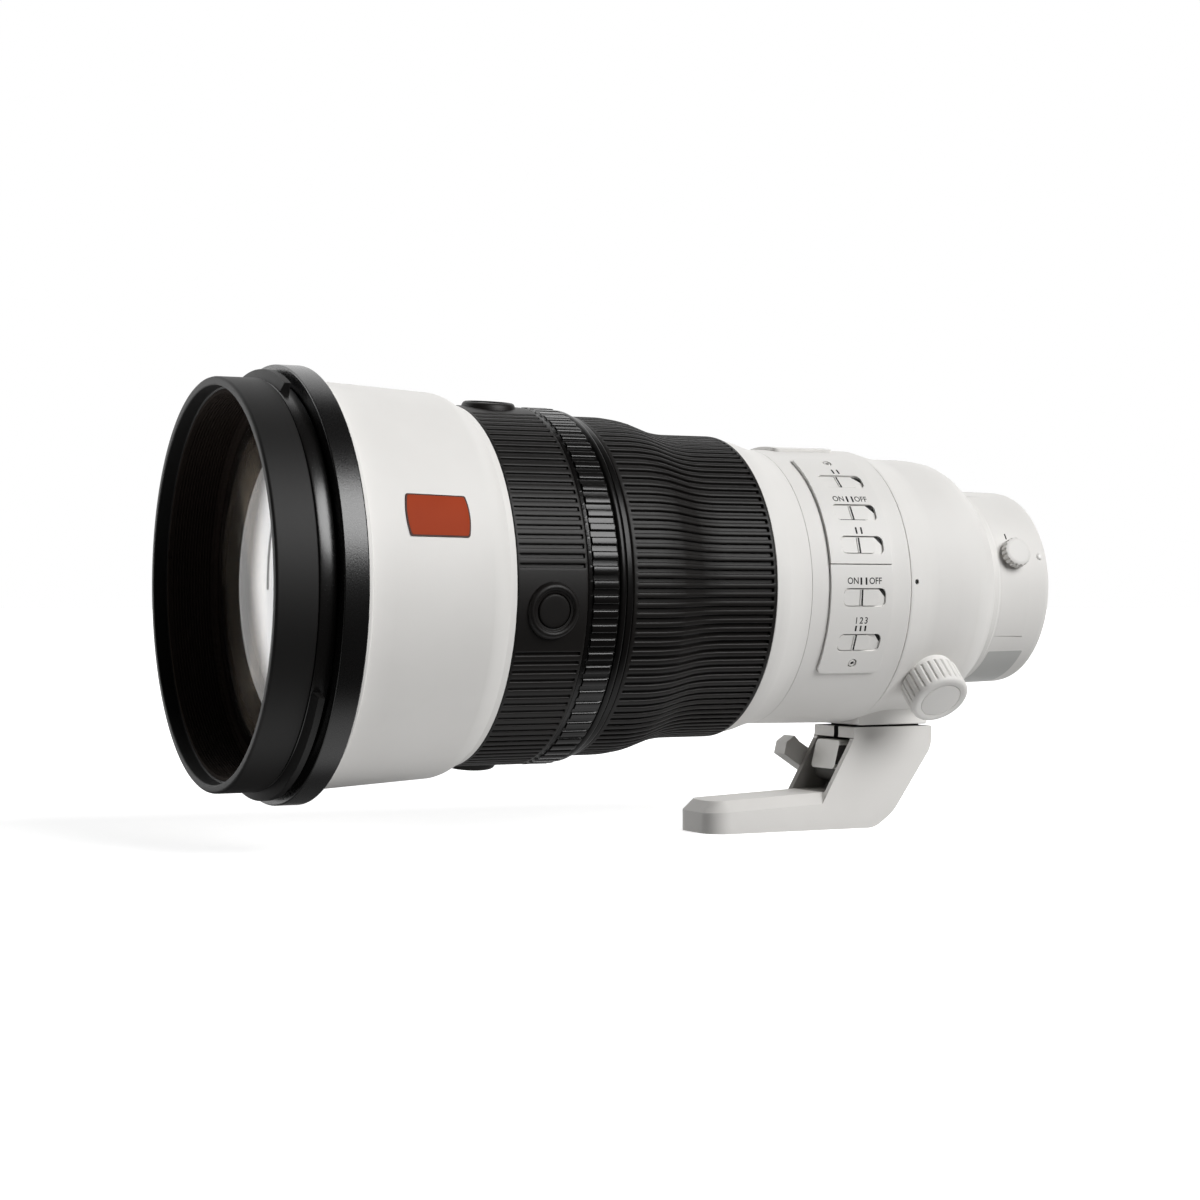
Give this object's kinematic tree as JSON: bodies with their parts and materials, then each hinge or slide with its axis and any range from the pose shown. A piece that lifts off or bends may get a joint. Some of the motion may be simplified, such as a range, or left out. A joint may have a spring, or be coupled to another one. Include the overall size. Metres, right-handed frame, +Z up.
{
  "type": "telephoto lens",
  "caption": "White telephoto lens with lens hood seat, ribbed focus ring, switch panel, tripod collar with foot and lock knob, filter drawer and bayonet mount.",
  "frame": {"origin": "centre of the camera-mount flange, on the optical axis", "axes": "+X rearward along the optical axis, to the camera; +Z up; the switch panel is on the -Y side and the foot hangs down"},
  "size_m": [0.2707, 0.1247, 0.1377],
  "materials": {
    "white_paint": "satin off-white paint",
    "white_plastic": "satin off-white",
    "grey_metal": "satin light grey",
    "black_paint": "satin black",
    "black_rubber": "matt dark rubber",
    "black_gloss": "glossy black",
    "black_plastic": "matt black",
    "badge_plastic": "plain brick red",
    "board_plastic": "green lacquer",
    "inner_metal": "black anodised",
    "mount_metal": "bright metal",
    "steel": "plain steel",
    "lens_glass": "clear coated glass"
  },
  "bodies": {
    "collar": {"tripod_collar": "white_paint", "collar_bushes": "black_plastic", "collar_foot": "white_paint"},
    "foot_clamp_lever": {"foot_lever": "grey_metal"},
    "collar_lock": {"lock_knob": "white_plastic"},
    "barrel": {"front_rim": "black_paint", "guard_ring": "black_paint", "front_baffle": "black_paint", "front_retainer": "black_paint", "front_cell": "inner_metal", "front_element": "lens_glass", "second_element": "lens_glass", "third_element": "lens_glass", "front_barrel": "white_paint", "badge_plate": "badge_plastic", "button_section": "black_paint", "button_grip": "black_rubber", "divider_ring": "black_gloss", "white_ring": "white_paint", "mid_barrel": "white_paint", "upper_panel": "white_plastic", "lower_panel": "white_plastic", "panel_screws": "steel", "top_panel": "white_plastic", "chassis_tube": "inner_metal", "guide_rods": "steel", "iris_base": "black_plastic", "iris_blades": "steel", "main_board": "board_plastic", "rear_barrel": "white_paint", "rear_element": "lens_glass", "bayonet_mount": "mount_metal", "mount_screws": "steel", "mount_seal": "black_rubber", "contact_block": "black_plastic", "rear_baffle": "black_paint"},
    "button_1": {"hold_button_1": "black_rubber"},
    "button_2": {"hold_button_2": "black_rubber"},
    "button_3": {"hold_button_3": "black_rubber"},
    "button_4": {"hold_button_4": "black_rubber"},
    "function_control": {"function_ring": "black_gloss"},
    "focus_control": {"focus_ring": "inner_metal", "focus_grip": "black_rubber"},
    "focus_mode": {"focus_mode_switch": "white_plastic"},
    "override": {"override_switch": "white_plastic"},
    "focus_range": {"range_switch": "white_plastic"},
    "stabiliser_on": {"stabiliser_switch": "white_plastic"},
    "stabiliser_mode": {"mode_switch": "white_plastic"},
    "preset": {"preset_switch": "white_plastic"},
    "set_key": {"set_button": "white_plastic"},
    "drawer": {"filter_drawer": "white_plastic", "filter_glass": "lens_glass"},
    "drawer_lock": {"filter_wheel": "white_plastic"},
    "front_focus": {"front_focus_carriage": "inner_metal", "front_focus_glass": "lens_glass"},
    "rear_focus": {"rear_focus_carriage": "inner_metal", "rear_focus_glass": "lens_glass"},
    "stage": {"stabiliser_stage": "black_plastic"},
    "stabiliser": {"stabiliser_cell": "black_plastic", "stabiliser_glass": "lens_glass"}
  },
  "joints": [
    {"name": "barrel_turn", "type": "hinge", "parent": "collar", "child": "barrel", "pos_m": [-0.0413, 0, 0], "axis": [1, 0, 0], "continuous": true},
    {"name": "collar_lock_turn", "type": "hinge", "parent": "collar", "child": "collar_lock", "pos_m": [-0.0455, -0.03083, -0.02925], "axis": [0, -0.7254, -0.6884], "range_deg": [0, 360]},
    {"name": "foot_lever_turn", "type": "hinge", "parent": "collar", "child": "foot_clamp_lever", "pos_m": [-0.06, 0, -0.0574], "axis": [0, 1, 0], "range_deg": [-90, 0]},
    {"name": "hold_button_1_press", "type": "slide", "parent": "barrel", "child": "button_1", "axis": [0, 0.9907, 0.1357], "range_m": [0, 0.0008], "stiffness_N_per_m": 400, "springref_m": -0.001},
    {"name": "hold_button_2_press", "type": "slide", "parent": "barrel", "child": "button_2", "axis": [0, 0.1357, -0.9907], "range_m": [0, 0.0008], "stiffness_N_per_m": 400, "springref_m": -0.001},
    {"name": "hold_button_3_press", "type": "slide", "parent": "barrel", "child": "button_3", "axis": [0, -0.9907, -0.1357], "range_m": [0, 0.0008], "stiffness_N_per_m": 400, "springref_m": -0.001},
    {"name": "hold_button_4_press", "type": "slide", "parent": "barrel", "child": "button_4", "axis": [0, -0.1357, 0.9907], "range_m": [0, 0.0008], "stiffness_N_per_m": 400, "springref_m": -0.001},
    {"name": "function_ring_turn", "type": "hinge", "parent": "barrel", "child": "function_control", "pos_m": [-0.1675, 0, 0], "axis": [1, 0, 0], "range_deg": [-12, 12], "stiffness_Nm_per_rad": 0.3},
    {"name": "focus_ring_turn", "type": "hinge", "parent": "barrel", "child": "focus_control", "pos_m": [-0.1328, 0, 0], "axis": [1, 0, 0], "continuous": true},
    {"name": "focus_mode_slide", "type": "slide", "parent": "barrel", "child": "focus_mode", "axis": [1, 0, 0], "range_m": [0, 0.0022]},
    {"name": "override_slide", "type": "slide", "parent": "barrel", "child": "override", "axis": [1, 0, 0], "range_m": [0, 0.0022]},
    {"name": "range_slide", "type": "slide", "parent": "barrel", "child": "focus_range", "axis": [1, 0, 0], "range_m": [0, 0.0022]},
    {"name": "stabiliser_slide", "type": "slide", "parent": "barrel", "child": "stabiliser_on", "axis": [1, 0, 0], "range_m": [0, 0.0022]},
    {"name": "mode_slide", "type": "slide", "parent": "barrel", "child": "stabiliser_mode", "axis": [1, 0, 0], "range_m": [0, 0.0034]},
    {"name": "preset_slide", "type": "slide", "parent": "barrel", "child": "preset", "axis": [1, 0, 0], "range_m": [0, 0.0022]},
    {"name": "set_press", "type": "slide", "parent": "barrel", "child": "set_key", "axis": [0, -0.3907, -0.9205], "range_m": [0, 0.0005], "stiffness_N_per_m": 300, "springref_m": -0.001},
    {"name": "drawer_pull", "type": "slide", "parent": "barrel", "child": "drawer", "axis": [0, -0.9455, 0.3256], "range_m": [0, 0.056]},
    {"name": "drawer_wheel_turn", "type": "hinge", "parent": "drawer", "child": "drawer_lock", "pos_m": [-0.0135, -0.02931, 0.01009], "axis": [0, -0.9455, 0.3256], "range_deg": [0, 90]},
    {"name": "front_focus_travel", "type": "slide", "parent": "barrel", "child": "front_focus", "axis": [1, 0, 0], "range_m": [-0.008, 0.014]},
    {"name": "rear_focus_travel", "type": "slide", "parent": "barrel", "child": "rear_focus", "axis": [1, 0, 0], "range_m": [-0.014, 0.02]},
    {"name": "stage_shift", "type": "slide", "parent": "barrel", "child": "stage", "axis": [0, 1, 0], "range_m": [-0.0006, 0.0006], "stiffness_N_per_m": 1500},
    {"name": "stabiliser_shift", "type": "slide", "parent": "stage", "child": "stabiliser", "axis": [0, 0, 1], "range_m": [-0.0006, 0.0006], "stiffness_N_per_m": 1500}
  ]
}
